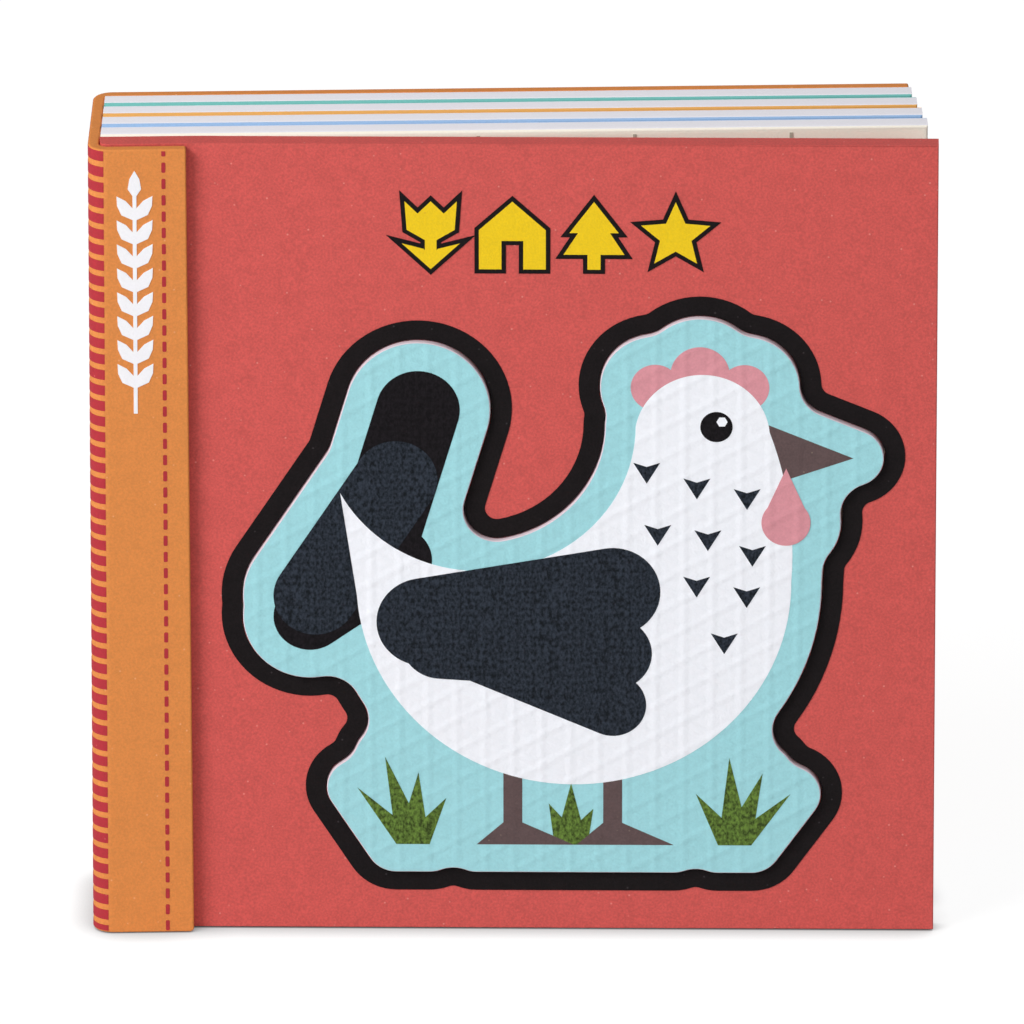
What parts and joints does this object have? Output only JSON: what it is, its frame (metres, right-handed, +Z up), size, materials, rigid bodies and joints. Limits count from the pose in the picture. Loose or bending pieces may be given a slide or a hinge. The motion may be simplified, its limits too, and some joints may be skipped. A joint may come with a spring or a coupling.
{
  "type": "soft book",
  "caption": "Square soft foam book with thick pages, a striped folded spine and a hinged front cover that holds a pop-out hen shape.",
  "frame": {"origin": "under the middle of the standing book, on the surface it stands on", "axes": "+Z up the spine, -Y out of the front cover, +X from the spine to the fore-edge"},
  "size_m": [0.152, 0.0332, 0.1521],
  "materials": {
    "wrap_foam": "matte foam sheet",
    "cover_foam": "matte foam sheet",
    "page_foam": "matte foam sheet",
    "piece_foam": "matte foam sheet",
    "black_ink": "matte print",
    "red_ink": "matte print",
    "white_ink": "matte print",
    "yellow_ink": "matte print",
    "sky_ink": "matte print",
    "charcoal_ink": "matte print",
    "pink_ink": "matte print",
    "brown_ink": "matte print",
    "green_ink": "matte print",
    "blue_ink": "matte print",
    "amber_ink": "matte print",
    "teal_ink": "matte print",
    "cream_ink": "matte print",
    "grey_ink": "matte print"
  },
  "bodies": {
    "binding": {"cover_wrap": "wrap_foam", "cover_margin": "cover_foam", "pages": "page_foam", "spine_stripes": "red_ink", "stitch_print": "red_ink", "wheat_print": "white_ink", "first_page_print": "cream_ink", "netting_print": "grey_ink", "page_print_blue": "blue_ink", "page_print_amber": "amber_ink", "page_print_teal": "teal_ink"},
    "cover": {"front_cover": "cover_foam", "pop_out_piece": "piece_foam", "opening_line_print": "black_ink", "sky_print": "sky_ink", "hen_white_print": "white_ink", "hen_charcoal_print": "charcoal_ink", "hen_black_print": "black_ink", "hen_pink_print": "pink_ink", "hen_brown_print": "brown_ink", "grass_print": "green_ink", "title_mark_print": "yellow_ink", "title_outline_print": "black_ink"}
  },
  "joints": [
    {"name": "cover_hinge", "type": "hinge", "parent": "binding", "child": "cover", "pos_m": [-0.05656, -0.01157, 0.076], "axis": [0, 0, -1], "range_deg": [-2.4, 167.6]}
  ]
}
